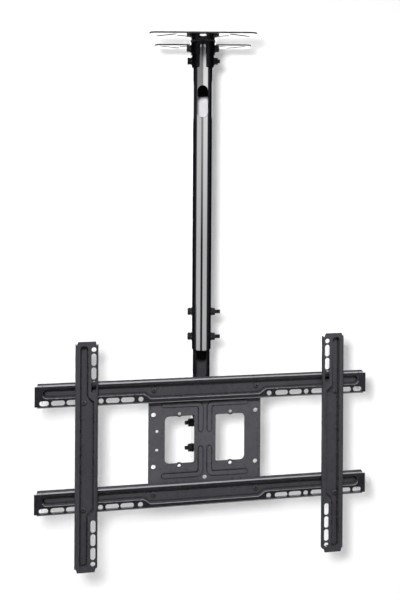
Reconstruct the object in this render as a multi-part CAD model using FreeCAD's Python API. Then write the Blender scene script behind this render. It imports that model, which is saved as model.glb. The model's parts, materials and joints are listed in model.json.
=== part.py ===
import FreeCAD, Part
import math
import os

V = FreeCAD.Vector

# Sheet and pole, in millimetres
ceiling_sheet = 3.0
centre_sheet = 3.0
rail_sheet = 2.0
outer_tube_d = 38.0
tube_wall = 1.7
slide_clearance = 0.3
inner_tube_wall = 2.0
outer_tube_len = 617.0
inner_tube_below = 99.5
inner_tube_len = 554.5
height_travel = 350.0

# The pole and ceiling plate face the viewer, the screen frame is turned from them
frame_turn = -8.8

# Ceiling plate, an H seen from below
plate_w = 203.0
plate_d = 200.0
plate_bar = 46.0
plate_web = 54.0
plate_corner = 12.0
ceiling_slot_w = 8.0
outer_slot = ((86.0, 66.0), (54.0, 88.0))
inner_slot = ((46.0, 71.0), (24.0, 61.0))
front_slot_w = 13.0
front_slot_len = 36.0
front_slot_y = 69.0

# Socket sleeve welded under the ceiling plate
sleeve_r = 23.75
sleeve_lower_r = 22.0
sleeve_fit = 0.1
sleeve_h = 53.5
sleeve_step = 28.0
sleeve_opening = 16.7

# Cable holes in the two tubes
cable_hole_w = 21.0
cable_hole_len = 63.0
cable_in_drop = 93.0
cable_out_rise = 43.0

# Large cross bolts
bolt_r = 4.0
bolt_head_af = 13.0
bolt_head_h = 5.3
bolt_nut_h = 6.5
bolt_len = 60.0
bolt_hole_gap = 0.1
slot_gap = 0.3
washer_r = 8.0
washer_t = 1.6
spring_washer_r = 6.6
spring_washer_t = 2.1
socket_bolt_drop = 15.0
socket_bolt_pitch = 25.0
tube_bolt_rise = 24.0
tube_bolt_pitch = 50.0

# Swivel under the inner tube
swivel_bolt_r = 6.0
swivel_head_af = 18.0
swivel_head_h = 7.5
swivel_nut_h = 10.0
swivel_thread_end = 4.0
running_gap = 0.08
plug_len = 24.5
plug_gap = 0.1

# Yoke and tilt bracket
yoke_sheet = 3.5
yoke_half_w = 16.0
yoke_bottom_r = 12.0
tilt_gap = 0.3
tilt_sheet = 3.0
tilt_bolt_len = 55.0
tilt_pitch = 50.0
tilt_down = 15.0
tilt_up = 5.0
rub_gap = 0.1
pivot_behind_plate = 42.0
pivot_above_centre = 16.0
bracket_top = 30.0
bracket_bottom = 54.0
bracket_rear = 16.0
bracket_low_r = 14.0
bracket_high_r = 12.0
bracket_lean = 3.0
yoke_foot_r = 11.0

# Centre plate with its screen hole patterns
centre_w = 220.0
centre_h = 220.0
centre_corner = 3.0
pole_to_plate = 52.0
swivel_to_centre = 57.5
vesa_small = 100.0
vesa_wide = 200.0
vesa_hole_r = 4.5
vesa_small_hole_r = 3.3
window_in = 21.0
window_out = 78.0
window_half_h = 45.5
window_corner = 8.0
window_inner_corner = 1.0
boss_r = 6.5
side_hole_x = 93.5
side_hole_z = 18.0
side_hole_r = 2.8
low_hole_z = 75.0
low_hole_r = 4.0
rib_w = 8.0
rib_h = 1.6
rib_x = 8.5
rib_row_z = 68.0
rib_end_x = 84.0
rib_finger_end = 14.0
rib_bend = 8.0

# Horizontal rails
rail_len = 645.0
rail_w = 44.0
rail_depth = 10.0
rail_slot_row = 9.5
rail_bolt_row = 24.0
rail_far = 7.5
rail_wide = 9.0
rail_narrow = 18.0
rail_step_in = 106.0
rail_step_out = 118.0
rail_recess_end = 14.5
rail_lip = 5.0
rail_lip_chamfer = 3.0
rail_hole_in = 125.0
rail_hole_out = 200.0
rail_slot_len = 25.0
rail_slot_pitch = 28.25
rail_slot_first = 150.0
rail_slot_second = 99.5
rail_end_slot = 17.5
rail_end_slot_len = 17.0

# Uprights that carry the screen
upright_len = 430.0
upright_w = 42.5
upright_hole_row = 8.3
upright_screw_row = 26.5
upright_far = 9.0
upright_wide = 7.2
upright_narrow = 18.7
upright_step_in = 103.0
upright_step_out = 112.0
upright_recess_end = 8.0
upright_lip = 7.0
upright_lip_chamfer = 5.0
upright_hole_out = 200.0
upright_slot_first = 130.0
upright_slot_pitch = 25.5
upright_slot_len = 23.0
left_screw_shift = 9.0
right_screw_shift = 6.25
upright_gap = 0.2

# Pressed rails of both kinds
rail_hole_r = 4.5
rail_bend = 3.0
recess_draft = 1.2
recess_step_r = 5.0
recess_end_flat = 1.0

# Small screws
screw_r = 3.0
screw_hole_gap = 0.3
screw_head_r = 5.2
screw_head_h = 3.4
screw_len = 14.0
screw_nut_af = 10.0
screw_nut_h = 5.0

# Small rounds and fasteners are drawn with flats, which stray this far from the arc
flat_stray = 0.4
hole_sides = 12
shank_sides = 8
sleeve_sides = 36
plug_sides = 24
tiny = 0.001
sharp_join = 2

# Levels that follow from the sizes above
outer_r = outer_tube_d / 2
inner_r = outer_r - tube_wall - slide_clearance
inner_bore_r = inner_r - inner_tube_wall
plate_under = -ceiling_sheet
outer_bottom = plate_under - outer_tube_len
inner_bottom = outer_bottom - inner_tube_below
plug_top = inner_bottom + plug_len
yoke_under = inner_bottom - yoke_sheet
centre_z = yoke_under - swivel_to_centre
plate_front = -pole_to_plate
plate_back = plate_front + centre_sheet
pivot_y = plate_front + pivot_behind_plate
pivot_z = centre_z + pivot_above_centre
lock_z = pivot_z - tilt_pitch
bolt_row = vesa_wide / 2
rail_front = plate_front - rail_depth
upright_front = rail_front - upright_gap - rail_depth
upper_rail_z = centre_z + bolt_row - rail_bolt_row
lower_rail_z = centre_z - bolt_row - rail_bolt_row
upright_z = (upper_rail_z + lower_rail_z) / 2 + rail_slot_row
tube_bolt_zs = [outer_bottom + tube_bolt_rise + k * tube_bolt_pitch for k in range(2)]
socket_bolt_zs = [plate_under - socket_bolt_drop - k * socket_bolt_pitch for k in range(2)]
rail_slot_outer = rail_len / 2 - rail_slot_second
rail_slot_xs = [rail_slot_first + k * rail_slot_pitch for k in range(2)]
rail_slot_xs += [rail_slot_outer + k * rail_slot_pitch for k in range(3)]
upright_slot_xs = [upright_slot_first + k * upright_slot_pitch for k in range(3)]
left_screw_x = -(rail_slot_xs[2] + left_screw_shift)
right_screw_x = rail_slot_xs[3] + right_screw_shift


# Closed outline in the XZ plane at depth y, each corner given as x, z and radius
def outline(corners, y=0.0):
    count = len(corners)
    points = []
    for i, (x, z, radius) in enumerate(corners):
        tip = V(x, y, z)
        if radius == 0:
            points.append(tip)
            continue
        before = V(corners[i - 1][0], y, corners[i - 1][1]) - tip
        after = V(corners[(i + 1) % count][0], y, corners[(i + 1) % count][1]) - tip
        before.normalize()
        after.normalize()
        half = before.getAngle(after) / 2
        middle = tip + (before + after).normalize() * (radius / math.sin(half))
        start = tip + before * (radius / math.tan(half)) - middle
        stop = tip + after * (radius / math.tan(half)) - middle
        turn = math.pi - 2 * half
        widest = 2 * math.acos(max(0, 1 - flat_stray / radius))
        flats = math.ceil(turn / widest)
        for k in range(flats + 1):
            share = k / flats
            way = start * math.sin((1 - share) * turn) + stop * math.sin(share * turn)
            points.append(middle + way / math.sin(turn))
    ring = [p for k, p in enumerate(points) if (p - points[k - 1]).Length > tiny]
    return Part.makePolygon(ring + ring[:1])


# Solid between the outline's plane and a plane further back
def slab(wire, thickness):
    return Part.Face(wire).extrude(V(0, thickness, 0))


def rectangle(x0, x1, z0, z1, radius, y=0.0):
    return outline([(x0, z0, radius), (x1, z0, radius), (x1, z1, radius), (x0, z1, radius)], y)


# Many-sided prism along +Z, with its corners on the circle
def prism(radius, sides, height):
    step = 2 * math.pi / sides
    ring = [V(radius * math.cos(k * step), radius * math.sin(k * step), 0) for k in range(sides)]
    return Part.Face(Part.makePolygon(ring + ring[:1])).extrude(V(0, 0, height))


# Many-sided prism along +Z, with its flats on the circle
def prism_around(radius, sides, height):
    return prism(radius / math.cos(math.pi / sides), sides, height)


# Hole cutters along Y: round for a screen's screw or a thread, flat-sided for the rest
def screen_hole(x, z, radius, y, depth):
    return Part.makeCylinder(radius, depth, V(x, y, z), V(0, 1, 0))


def hole(x, z, radius, y, depth):
    return place(prism(radius, hole_sides, depth), V(x, y, z), V(0, 1, 0))


def screw_hole(x, z, y, depth):
    return place(prism_around(screw_r + screw_hole_gap, shank_sides, depth), V(x, y, z), V(0, 1, 0))


# Slot cutters along X, as the holes
def slot(x, z, length, width, y, depth):
    shape = rectangle(x - length / 2, x + length / 2, z - width / 2, z + width / 2, width / 2, y)
    return slab(shape, depth)


def screen_slot(x, z, length, width, y, depth):
    reach = (length - width) / 2
    ends = [screen_hole(x + side * reach, z, width / 2, y, depth) for side in (-1, 1)]
    middle = Part.makeBox(2 * reach, depth, width, V(x - reach, y, z - width / 2))
    return middle.fuse(ends)


# Slot cutter in the horizontal plate, between the centres of its two round ends
def plan_slot(start, stop, width, z, depth):
    a = V(start[0], start[1], 0)
    b = V(stop[0], stop[1], 0)
    middle = (a + b) / 2
    cutter = slot(0, 0, (b - a).Length + width, width, 0, depth)
    cutter.rotate(V(0, 0, 0), V(1, 0, 0), 90)
    cutter.rotate(V(0, 0, 0), V(0, 0, 1), math.degrees(math.atan2(b.y - a.y, b.x - a.x)))
    cutter.translate(V(middle.x, middle.y, z))
    return cutter


def hexagon(across_flats, height):
    return prism(across_flats / math.sqrt(3), 6, height)


# Nut whose flat-sided bore just clears a round shank
def nut_on_round(across_flats, radius, height):
    return hexagon(across_flats, height).cut(prism_around(radius, plug_sides, height))


# Washer whose flat-sided bore stays clear of the shank
def ring(outer, inner, height):
    return prism(outer, hole_sides, height).cut(prism_around(inner, shank_sides, height))


# Turns a piece made along +Z so that it points along a direction and starts at a point
def place(shape, start, direction):
    shape = shape.copy()
    shape.Placement = FreeCAD.Placement(start, FreeCAD.Rotation(V(0, 0, 1), direction))
    return shape


def group(solids):
    return Part.makeCompound(solids)


# Pole pieces are made facing -Y and turned together to face the viewer
def face_viewer(shape):
    shape = shape.copy()
    shape.rotate(V(0, 0, 0), V(0, 0, 1), frame_turn)
    return shape


# Hole cutter for a plain bolt along X
def bolt_hole(reach, y, z):
    return place(prism_around(bolt_r + bolt_hole_gap, 6, 2 * reach), V(-reach, y, z), V(1, 0, 0))


# Bolt, washers and nut along X through a piece whose sides lie at the given half width
def cross_bolt(half_width, y, z, length, head_side, spring_t):
    head_way = V(head_side, 0, 0)
    nut_way = V(-head_side, 0, 0)

    def at(distance):
        return V(head_side * distance, y, z)

    under_head = half_width + washer_t + spring_t
    bolt = place(hexagon(bolt_head_af, bolt_head_h), at(under_head), head_way)
    bolt = bolt.fuse(place(prism(bolt_r, shank_sides, length), at(under_head), nut_way))
    flat = ring(washer_r, bolt_r + bolt_hole_gap, washer_t)
    washers = [place(flat, at(half_width), head_way), place(flat, at(-half_width), nut_way)]
    if spring_t:
        spring = ring(spring_washer_r, bolt_r + bolt_hole_gap, spring_t)
        washers.append(place(spring, at(half_width + washer_t), head_way))
    nut = hexagon(bolt_head_af, bolt_nut_h).cut(prism(bolt_r, shank_sides, bolt_nut_h))
    return bolt, washers, place(nut, at(-half_width - washer_t), nut_way)


# Round head screw along Y with a nut on its far side
def small_screw(x, head_seat, nut_seat, z):
    back = V(0, 1, 0)
    head = place(prism(screw_head_r, hole_sides, screw_head_h), V(x, head_seat, z), V(0, -1, 0))
    shank = place(prism(screw_r, shank_sides, screw_len), V(x, head_seat, z), back)
    nut = hexagon(screw_nut_af, screw_nut_h).cut(prism(screw_r, shank_sides, screw_nut_h))
    return head.fuse(shank), place(nut, V(x, nut_seat, z), back)


# Ceiling plate: two bars joined by a web, with slots for the ceiling screws
def ceiling_plate():
    half_w = plate_w / 2
    half_d = plate_d / 2
    web = plate_web / 2
    bar = half_d - plate_bar
    corner = plate_corner
    quarter = [(half_w, half_d, corner), (half_w, bar, corner), (web, bar, 0)]
    corners = quarter + [(x, -y, r) for x, y, r in reversed(quarter)]
    corners += [(-x, -y, r) for x, y, r in quarter] + [(-x, y, r) for x, y, r in reversed(quarter)]
    body = slab(outline(corners), ceiling_sheet)
    body.rotate(V(0, 0, 0), V(1, 0, 0), 90)
    body.translate(V(0, 0, plate_under))
    cuts = []
    for sx in (-1, 1):
        for sy in (-1, 1):
            for start, stop in (outer_slot, inner_slot):
                a = (sx * start[0], sy * start[1])
                b = (sx * stop[0], sy * stop[1])
                cuts.append(plan_slot(a, b, ceiling_slot_w, plate_under, ceiling_sheet))
    reach = (front_slot_len - front_slot_w) / 2
    for sy in (-1, 1):
        a = (0, sy * front_slot_y - reach)
        b = (0, sy * front_slot_y + reach)
        cuts.append(plan_slot(a, b, front_slot_w, plate_under, ceiling_sheet))
    return body.cut(group(cuts))


# Sleeve with an open front, welded to the ceiling plate
def ceiling_socket():
    top = plate_under
    step = top - sleeve_step
    bottom = top - sleeve_h
    upper = place(prism(sleeve_r, sleeve_sides, sleeve_step), V(0, 0, step), V(0, 0, 1))
    lower_h = sleeve_h - sleeve_step
    lower = place(prism(sleeve_lower_r, sleeve_sides, lower_h), V(0, 0, bottom), V(0, 0, 1))
    bore = place(prism_around(outer_r + sleeve_fit, sleeve_sides, sleeve_h), V(0, 0, bottom), V(0, 0, 1))
    body = upper.fuse(lower).cut(bore)
    opening = Part.makeBox(sleeve_opening, sleeve_r, sleeve_h, V(-sleeve_opening / 2, -sleeve_r, bottom))
    return body.cut(group([opening] + [bolt_hole(sleeve_r, 0, z) for z in socket_bolt_zs]))


def tube(outer, bore, bottom, length):
    return Part.makeCylinder(outer, length, V(0, 0, bottom)).cut(
        Part.makeCylinder(bore, length, V(0, 0, bottom)))


# Round-ended cable hole through the front wall of a tube
def cable_hole(top, radius):
    half_w = cable_hole_w / 2
    return slab(rectangle(-half_w, half_w, top - cable_hole_len, top, half_w, -radius), radius)


def outer_tube():
    body = tube(outer_r, outer_r - tube_wall, outer_bottom, outer_tube_len)
    holes = [bolt_hole(outer_r, 0, z) for z in socket_bolt_zs + tube_bolt_zs]
    return body.cut(group(holes + [cable_hole(-cable_in_drop, outer_r)]))


# Inner tube: its side slots let it drop past the two fixed cross bolts
def inner_tube():
    body = tube(inner_r, inner_bore_r, inner_bottom, inner_tube_len)
    slot_r = bolt_r + slot_gap
    slot_low = tube_bolt_zs[0] - slot_r
    slot_high = tube_bolt_zs[1] + height_travel + slot_r
    side_slot = Part.makeBox(2 * inner_r, 2 * slot_r, slot_high - slot_low, V(-inner_r, -slot_r, slot_low))
    exit_top = inner_bottom + cable_out_rise + cable_hole_len
    return body.cut(group([side_slot, cable_hole(exit_top, inner_r)]))


# Plug welded in the lower end of the inner tube, bored for the swivel bolt
def swivel_plug():
    bore = Part.makeCylinder(swivel_bolt_r + running_gap, plug_len)
    body = prism(inner_bore_r - plug_gap, plug_sides, plug_len).cut(bore)
    return place(body, V(0, 0, inner_bottom), V(0, 0, 1))


def swivel_bolt():
    head = place(hexagon(swivel_head_af, swivel_head_h), V(0, 0, yoke_under), V(0, 0, -1))
    length = plug_top + swivel_nut_h + swivel_thread_end - yoke_under
    return head.fuse(Part.makeCylinder(swivel_bolt_r, length, V(0, 0, yoke_under)))


def swivel_nut():
    nut = nut_on_round(swivel_head_af, swivel_bolt_r, swivel_nut_h)
    return place(nut, V(0, 0, plug_top + rub_gap), V(0, 0, 1))


# Side cheek in a YZ plane: corners are y, z and radius, from x inwards by the thickness
def cheek(corners, outer_x, thickness):
    side = slab(outline(corners), thickness)
    side.rotate(V(0, 0, 0), V(0, 0, 1), 90)
    side.translate(V(outer_x, 0, 0))
    return side


# Yoke under the swivel: a top plate with two cheeks folded down
def swivel_yoke():
    top = Part.makeBox(2 * yoke_half_w, 2 * inner_r, yoke_sheet, V(-yoke_half_w, -inner_r, yoke_under))
    foot = lock_z - yoke_bottom_r
    corners = [(-inner_r, inner_bottom, 0), (-inner_r, pivot_z + yoke_bottom_r, yoke_bottom_r),
               (pivot_y - yoke_bottom_r, pivot_z, yoke_bottom_r),
               (pivot_y - yoke_bottom_r, foot, yoke_foot_r),
               (pivot_y + yoke_bottom_r, foot, yoke_foot_r),
               (inner_r, pivot_z + yoke_bottom_r, yoke_bottom_r), (inner_r, inner_bottom, 0)]
    cheeks = [cheek(corners, x, yoke_sheet) for x in (yoke_half_w, -yoke_half_w + yoke_sheet)]
    bore = place(prism_around(swivel_bolt_r + running_gap, hole_sides, yoke_sheet), V(0, 0, yoke_under),
                 V(0, 0, 1))
    body = top.fuse(cheeks).removeSplitter()
    return body.cut(group([bore] + [bolt_hole(yoke_half_w, pivot_y, z) for z in (pivot_z, lock_z)]))


# Tilt bracket: welded to the centre plate, with an arc slot for the lock bolt
def tilt_bracket():
    half_w = yoke_half_w + tilt_gap + tilt_sheet
    top = centre_z + bracket_top
    bottom = centre_z - bracket_bottom
    base = Part.makeBox(2 * half_w, tilt_sheet, top - bottom, V(-half_w, plate_back, bottom))
    rear = pivot_y + bracket_rear
    corners = [(plate_back, bottom, 0), (rear, bottom, bracket_low_r),
               (rear, lock_z + bracket_rear, bracket_rear), (rear - bracket_lean, top, bracket_high_r),
               (plate_back, top, 0)]
    cheeks = [cheek(corners, x, tilt_sheet) for x in (half_w, -half_w + tilt_sheet)]
    body = base.fuse(cheeks).removeSplitter()
    pivot = Part.makeCylinder(bolt_r + running_gap, 2 * half_w, V(-half_w, pivot_y, pivot_z), V(1, 0, 0))
    return body.cut(group([pivot, arc_slot(half_w)]))


# Arc slot cutter about the pivot, long enough for the whole tilt range
def arc_slot(half_w):
    reach = bolt_r + slot_gap
    edge = math.degrees(reach / tilt_pitch)
    angles = [-tilt_down + (tilt_up + tilt_down) * k / 4 for k in range(5)]
    outer = [swing_point(angle, tilt_pitch + reach) for angle in angles]
    inner = [swing_point(angle, tilt_pitch - reach) for angle in reversed(angles)]
    half_edge = reach / math.sqrt(2)
    low = [swing_point(-tilt_down - edge / math.sqrt(2), tilt_pitch + shift) for shift in (-half_edge, half_edge)]
    high = [swing_point(tilt_up + edge / math.sqrt(2), tilt_pitch + shift) for shift in (half_edge, -half_edge)]
    low.insert(1, swing_point(-tilt_down - edge, tilt_pitch))
    high.insert(1, swing_point(tilt_up + edge, tilt_pitch))
    points = [V(-half_w, y, z) for y, z in low + outer + high + inner]
    return Part.Face(Part.makePolygon(points + points[:1])).extrude(V(2 * half_w, 0, 0))


# Point on an arm that swings about the pivot, at an angle from straight down
def swing_point(angle, radius):
    turn = math.radians(angle)
    return pivot_y + radius * math.sin(turn), pivot_z - radius * math.cos(turn)


# One stiffening rib: a short finger that bends into a long row
def rib(sx, sz, width, y, depth):
    half = width / 2
    near = rib_x - half
    far = rib_x + half
    low = rib_row_z - half
    high = rib_row_z + half
    corners = [(near, rib_finger_end, half), (far, rib_finger_end, half), (far, low, rib_bend - half),
               (rib_end_x, low, half), (rib_end_x, high, half), (near, high, rib_bend + half)]
    return slab(outline([(sx * x, centre_z + sz * z, r) for x, z, r in corners], y), depth)


# Centre plate: screen hole patterns, two windows and pressed ribs
def centre_plate():
    half_w = centre_w / 2
    half_h = centre_h / 2
    body = slab(rectangle(-half_w, half_w, centre_z - half_h, centre_z + half_h, centre_corner, plate_front),
                centre_sheet)
    groove_w = rib_w - 2 * rib_h
    quarters = [(sx, sz) for sx in (-1, 1) for sz in (-1, 1)]
    ribs = [rib(sx, sz, rib_w, plate_front - rib_h, rib_h) for sx, sz in quarters]
    body = body.fuse(ribs).removeSplitter()
    cuts = [rib(sx, sz, groove_w, plate_back - rib_h, rib_h) for sx, sz in quarters]
    for sx in (-1, 1):
        inner, outer = sorted((sx * window_in, sx * window_out))
        low, high = centre_z - window_half_h, centre_z + window_half_h
        near, far = (window_inner_corner, window_corner) if sx > 0 else (window_corner, window_inner_corner)
        window = slab(outline([(inner, low, near), (outer, low, far), (outer, high, far),
                               (inner, high, near)], plate_front), centre_sheet)
        for sz in (-1, 1):
            x, z = sx * vesa_small / 2, centre_z + sz * vesa_small / 2
            window = window.cut(hole(x, z, boss_r, plate_front, centre_sheet))
            cuts.append(screen_hole(x, z, vesa_small_hole_r, plate_front, centre_sheet))
            cuts.append(screen_hole(sx * vesa_wide / 2, z, vesa_hole_r, plate_front, centre_sheet))
            cuts.append(screw_hole(sx * bolt_row, centre_z + sz * bolt_row, plate_front, centre_sheet))
        cuts.append(window)
    for sz in (-1, 1):
        cuts.append(hole(-side_hole_x, centre_z + sz * side_hole_z, side_hole_r, plate_front, centre_sheet))
    cuts.append(hole(0, centre_z - low_hole_z, low_hole_r, plate_front, centre_sheet))
    return body.cut(group(cuts))


# Section of a pressed rail: a web at y = 0 and two flanges that run back
def channel(length, width):
    t = rail_sheet
    outer = [(0, 0, rail_bend), (width, 0, rail_bend), (width, rail_depth, 0), (width - t, rail_depth, 0),
             (width - t, t, rail_bend - t), (t, t, rail_bend - t), (t, rail_depth, 0), (0, rail_depth, 0)]
    section = Part.Face(outline(outer))
    body = section.extrude(V(0, length, 0))
    # The section is drawn with x as the width and z as the depth, then stood on its end
    stood = FreeCAD.Rotation(V(0, 0, 1), V(1, 0, 0), V(0, 1, 0))
    body.Placement = FreeCAD.Placement(V(-length / 2, 0, 0), stood)
    return body


# Mouth of the stepped recess: narrow beside the slots, wide in the middle
def recess_mouth(end_x, low, far, wide, step_in, step_out):
    end_r = (far - low - recess_end_flat) / 2
    return outline([(-end_x, low, end_r), (-step_out, low, recess_step_r), (-step_in, wide, recess_step_r),
                    (step_in, wide, recess_step_r), (step_out, low, recess_step_r), (end_x, low, end_r),
                    (end_x, far, end_r), (-end_x, far, end_r)])


def drawn(mouth, grow, y_mouth, y_floor):
    front = mouth.makeOffset2D(grow, sharp_join) if grow else mouth.copy()
    floor = mouth.makeOffset2D(grow - recess_draft, sharp_join)
    front.translate(V(0, y_mouth, 0))
    floor.translate(V(0, y_floor, 0))
    return Part.makeLoft([front, floor], True, True)


# Pressed rail along X, slot edge at z = 0, front at y = 0
def pressed_rail(length, width, lip, chamfer, mouth, cutters, screws):
    half = length / 2
    body = channel(length - 2 * lip, width)
    web = outline([(-half, chamfer, 0), (-half + chamfer, 0, 0), (half - chamfer, 0, 0), (half, chamfer, 0),
                   (half, width - chamfer, 0), (half - chamfer, width, 0), (-half + chamfer, width, 0),
                   (-half, width - chamfer, 0)])
    inset = outline([(-half, chamfer, 0), (-half + lip, rail_bend, 0), (half - lip, rail_bend, 0),
                     (half, chamfer, 0), (half, width - chamfer, 0), (half - lip, width - rail_bend, 0),
                     (-half + lip, width - rail_bend, 0), (-half, width - chamfer, 0)])
    body = body.fuse(slab(inset, rail_sheet).common(slab(web, rail_sheet)))
    body = body.fuse(drawn(mouth, rail_sheet, 0, rail_depth)).removeSplitter()
    cuts = [drawn(mouth, 0, 0, rail_depth - rail_sheet)] + cutters
    cuts += [screw_hole(sx * bolt_row, screws, 0, rail_depth) for sx in (-1, 1)]
    return body.cut(group(cuts))


def horizontal_rail(z):
    mouth = recess_mouth(rail_len / 2 - rail_recess_end, rail_narrow, rail_w - rail_far, rail_wide,
                         rail_step_in, rail_step_out)
    slots = [(x, rail_slot_len) for x in rail_slot_xs]
    slots.append((rail_len / 2 - rail_end_slot, rail_end_slot_len))
    width = 2 * rail_hole_r
    cutters = [slot(sx * x, rail_slot_row, size, width, 0, rail_sheet) for sx in (-1, 1) for x, size in slots]
    cutters += [hole(sx * x, rail_slot_row, rail_hole_r, 0, rail_sheet)
                for sx in (-1, 1) for x in (rail_hole_in, rail_hole_out)]
    body = pressed_rail(rail_len, rail_w, rail_lip, rail_lip_chamfer, mouth, cutters, rail_bolt_row)
    body.translate(V(0, rail_front, z))
    return body


def upright(screw_x):
    side = math.copysign(1, screw_x)
    mouth = recess_mouth(upright_len / 2 - upright_recess_end, upright_narrow, upright_w - upright_far,
                         upright_wide, upright_step_in, upright_step_out)
    low, middle, high = upright_slot_xs
    width = 2 * rail_hole_r
    cutters = []
    for sx in (-1, 1):
        cutters.append(screen_hole(sx * upright_hole_out, upright_hole_row, rail_hole_r, 0, rail_sheet))
        cutters.append(screen_slot(sx * middle, upright_hole_row, upright_slot_len, width, 0, rail_sheet))
        cutters += [slot(sx * x, upright_hole_row, upright_slot_len, width, 0, rail_sheet)
                    for x in (low, high)]
    body = pressed_rail(upright_len, upright_w, upright_lip, upright_lip_chamfer, mouth, cutters,
                        upright_screw_row)
    body.rotate(V(0, 0, 0), V(0, 1, 0), side * 90)
    body.translate(V(screw_x - side * upright_screw_row, upright_front, upright_z))
    return body


parts = {}


def add(name, shape):
    parts[name] = shape


# Bolt, washer and nut groups for a list of cross bolts
def add_cross_bolts(name, stacks, turn):
    for kind, solids in (("bolts", [s[0] for s in stacks]), ("washers", [w for s in stacks for w in s[1]]),
                         ("nuts", [s[2] for s in stacks])):
        add(name + "_" + kind, turn(group(solids)))


def add_small_screws(name, stacks):
    for k, kind in enumerate(("screws", "nuts")):
        add(name + "_" + kind, group([s[k] for s in stacks]))


add("ceiling_plate", face_viewer(ceiling_plate()))
add("ceiling_socket", face_viewer(ceiling_socket()))
add("outer_tube", face_viewer(outer_tube()))
add("inner_tube", face_viewer(inner_tube()))
add("swivel_plug", face_viewer(swivel_plug()))
add_cross_bolts("socket", [cross_bolt(half, 0, z, bolt_len, -1, spring_washer_t)
                           for half, z in zip((sleeve_r, sleeve_lower_r), socket_bolt_zs)], face_viewer)
add_cross_bolts("tube", [cross_bolt(outer_r, 0, z, bolt_len, -1, spring_washer_t)
                         for z in tube_bolt_zs], face_viewer)

add("swivel_yoke", swivel_yoke())
add("swivel_bolt", swivel_bolt())
add("swivel_nut", swivel_nut())
tilt_seat = yoke_half_w + tilt_gap + tilt_sheet + rub_gap
pivot_stack = cross_bolt(tilt_seat, pivot_y, pivot_z, tilt_bolt_len, 1, 0)
lock_stack = cross_bolt(tilt_seat, pivot_y, lock_z, tilt_bolt_len, 1, 0)
under_head = V(tilt_seat + washer_t, pivot_y, pivot_z)
add("tilt_pivot_bolt", place(hexagon(bolt_head_af, bolt_head_h), under_head, V(1, 0, 0)).fuse(
    Part.makeCylinder(bolt_r, tilt_bolt_len, under_head, V(-1, 0, 0))))
add("tilt_lock_bolt", lock_stack[0])
add("tilt_washers", group(pivot_stack[1] + lock_stack[1]))
pivot_nut = place(nut_on_round(bolt_head_af, bolt_r, bolt_nut_h),
                  V(-tilt_seat - washer_t, pivot_y, pivot_z), V(-1, 0, 0))
add("tilt_nuts", group([pivot_nut, lock_stack[2]]))

add("tilt_bracket", tilt_bracket())
add("centre_plate", centre_plate())
add("upper_rail", horizontal_rail(upper_rail_z))
add("lower_rail", horizontal_rail(lower_rail_z))
floor_front = rail_front + rail_depth - rail_sheet
add_small_screws("rail", [small_screw(sx * bolt_row, floor_front, plate_back, centre_z + sz * bolt_row)
                          for sx in (-1, 1) for sz in (-1, 1)])

for side_name, screw_x in (("left", left_screw_x), ("right", right_screw_x)):
    add(side_name + "_upright", upright(screw_x))
    seat = upright_front + rail_depth - rail_sheet
    behind = rail_front + rail_sheet + upright_gap
    add_small_screws(side_name, [small_screw(screw_x, seat, behind, upright_z + sz * bolt_row)
                                 for sz in (-1, 1)])

os.makedirs("parts", exist_ok=True)
for name, shape in parts.items():
    shape.exportStep("parts/" + name + ".step")
    print(name, len(shape.Solids), shape.isValid(), round(shape.Volume), [round(v) for v in (
        shape.BoundBox.XMin, shape.BoundBox.XMax, shape.BoundBox.YMin, shape.BoundBox.YMax,
        shape.BoundBox.ZMin, shape.BoundBox.ZMax)])
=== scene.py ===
import json
import math

import bpy
from mathutils import Matrix, Vector


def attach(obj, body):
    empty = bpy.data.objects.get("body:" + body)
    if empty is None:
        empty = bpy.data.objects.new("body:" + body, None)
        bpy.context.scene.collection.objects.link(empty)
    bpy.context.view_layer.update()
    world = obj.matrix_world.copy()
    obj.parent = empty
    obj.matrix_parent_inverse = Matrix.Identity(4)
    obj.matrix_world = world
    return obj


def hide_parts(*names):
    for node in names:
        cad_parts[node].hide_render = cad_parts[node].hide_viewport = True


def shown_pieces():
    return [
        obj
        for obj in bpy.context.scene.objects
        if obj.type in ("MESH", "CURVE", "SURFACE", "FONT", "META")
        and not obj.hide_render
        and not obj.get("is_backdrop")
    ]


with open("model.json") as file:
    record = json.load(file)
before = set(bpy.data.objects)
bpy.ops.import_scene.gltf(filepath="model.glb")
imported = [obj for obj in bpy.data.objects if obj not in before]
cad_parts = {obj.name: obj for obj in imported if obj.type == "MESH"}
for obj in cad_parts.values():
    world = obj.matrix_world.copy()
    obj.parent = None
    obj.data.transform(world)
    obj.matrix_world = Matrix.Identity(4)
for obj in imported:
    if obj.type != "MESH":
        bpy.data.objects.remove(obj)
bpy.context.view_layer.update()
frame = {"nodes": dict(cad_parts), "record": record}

bpy.ops.object.select_all(action="DESELECT")

mm = 0.001
poleHeading = 8.8  # degrees from the frame's front to that of the pole and ceiling plate
poleTurn = Matrix.Rotation(math.radians(-poleHeading), 4, "Z")
unturned = Matrix.Identity(4)
proud = 1  # mm that a cutter stands out past what it cuts
cutSlack = 0.03  # mm that a cut in a copied CAD node is wider all round than the node's own hole

bodyOfNode = {node: body for body, nodes in frame["record"]["behaviour"]["bodies"].items() for node in nodes}


# small tools for shaping by hand

def deselectAll():
    if bpy.context.object and bpy.context.object.mode != "OBJECT":
        bpy.ops.object.mode_set(mode="OBJECT")
    bpy.ops.object.select_all(action="DESELECT")


def makeActive(piece):
    deselectAll()
    piece.select_set(True)
    bpy.context.view_layer.objects.active = piece


def selectParts(piece, kind, test):  # leaves the piece in edit mode with the chosen parts selected
    makeActive(piece)
    bpy.ops.object.mode_set(mode="EDIT")
    bpy.ops.mesh.select_mode(type=kind)
    bpy.ops.mesh.select_all(action="DESELECT")
    bpy.ops.object.mode_set(mode="OBJECT")
    parts = {"VERT": piece.data.vertices, "EDGE": piece.data.edges, "FACE": piece.data.polygons}[kind]
    for part in parts:
        part.select = bool(test(part))
    bpy.ops.object.mode_set(mode="EDIT")


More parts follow.
